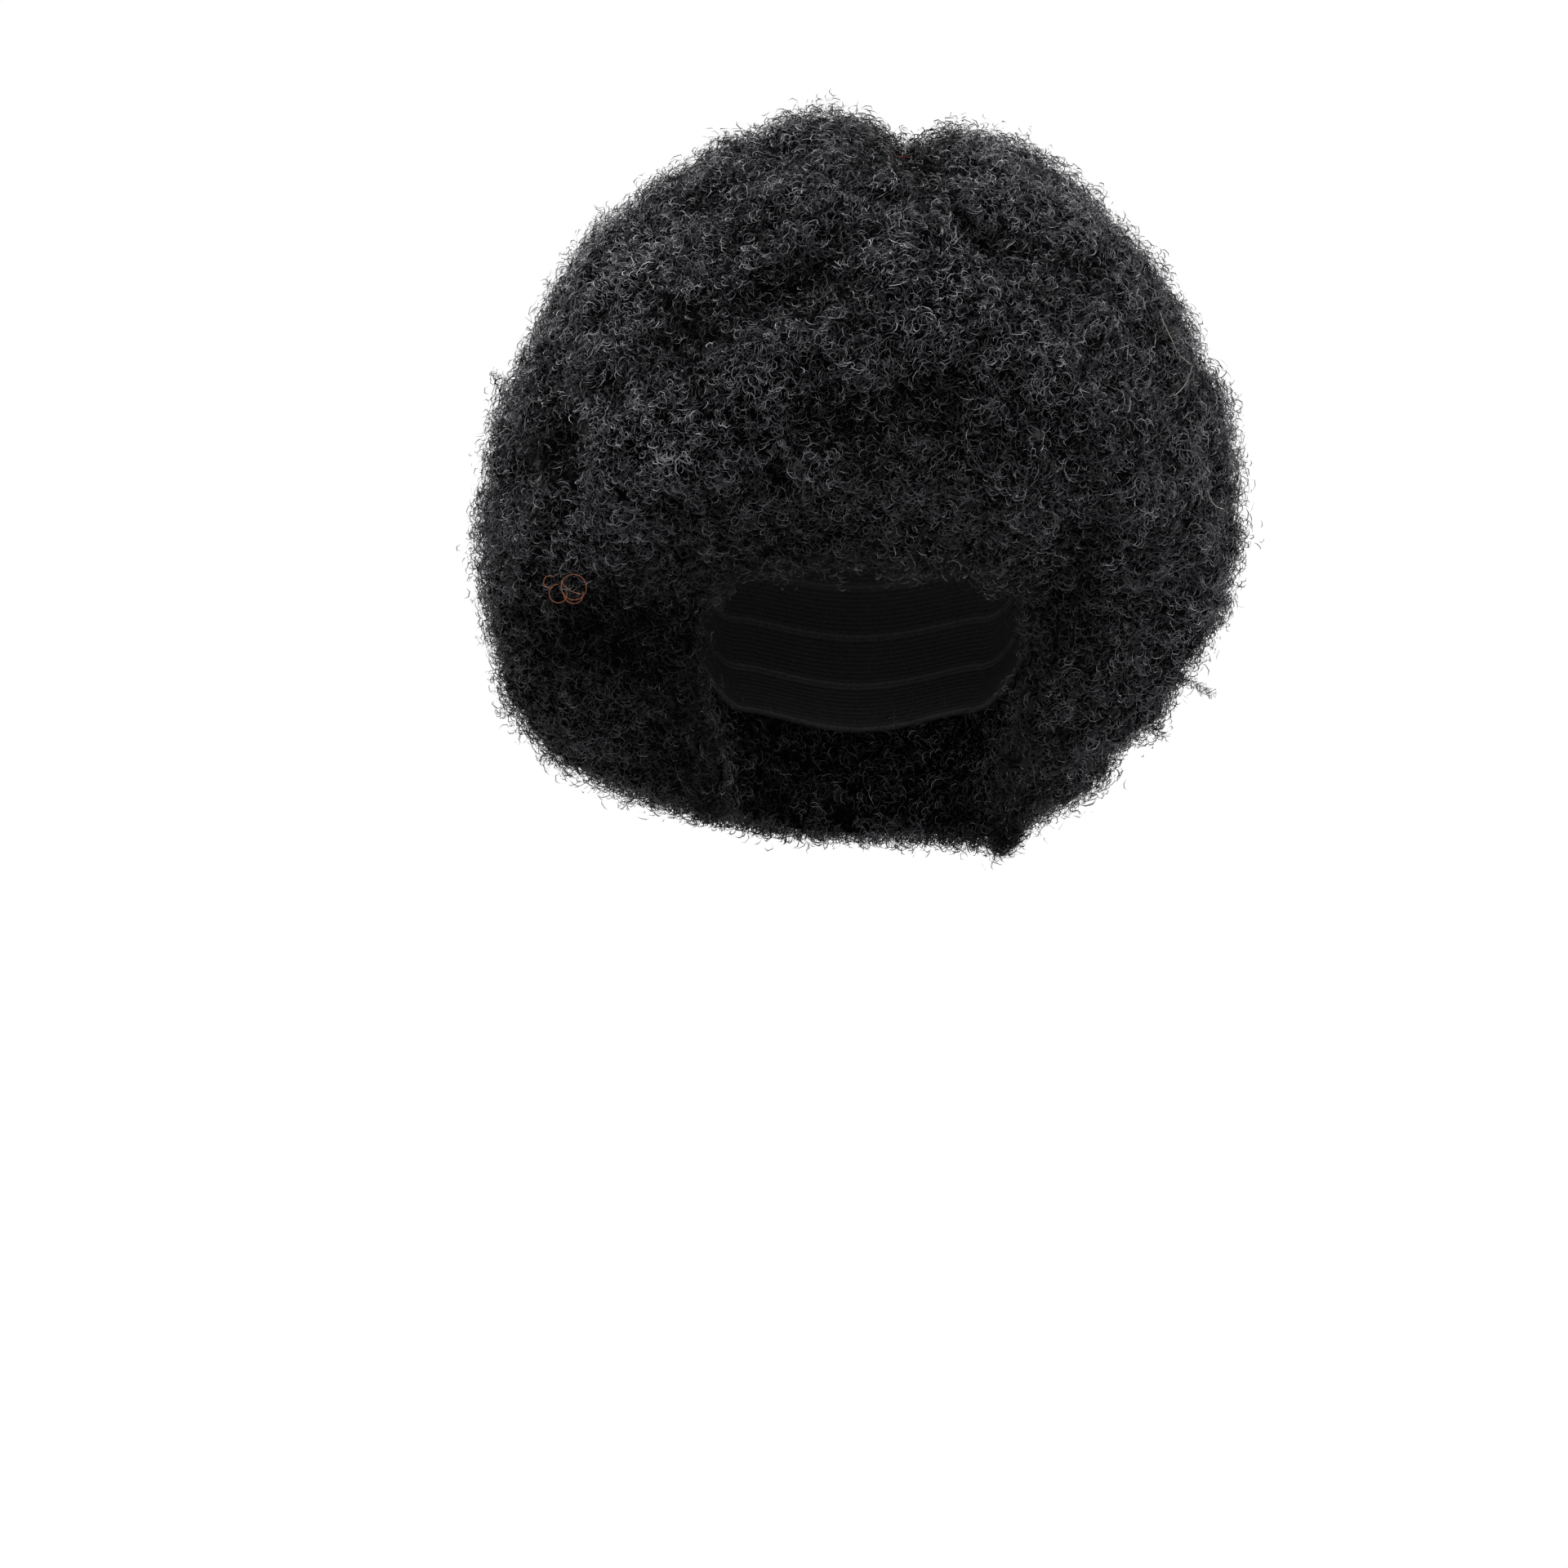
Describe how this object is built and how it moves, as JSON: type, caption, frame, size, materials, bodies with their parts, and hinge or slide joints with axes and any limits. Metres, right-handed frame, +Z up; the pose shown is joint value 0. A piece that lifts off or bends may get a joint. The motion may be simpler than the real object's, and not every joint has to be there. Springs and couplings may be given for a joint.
{
  "type": "curly wig",
  "caption": "Round black wig of dense tight curls on a stretch cap, open round the face and at the neck.",
  "frame": {"origin": "inside top of the cap, where it sits on the crown of the head", "axes": "+Z up, -Y the way the face looks, +X the wearer's left"},
  "size_m": [0.3266, 0.3197, 0.3083],
  "materials": {
    "hair": "curled synthetic fibre, satin",
    "cap": "matt stretch knit"
  },
  "bodies": {
    "root": {"cap": "cap", "hair_crown": "hair", "hair_fringe": "hair", "hair_left": "hair", "hair_right": "hair", "hair_back": "hair"}
  },
  "joints": []
}
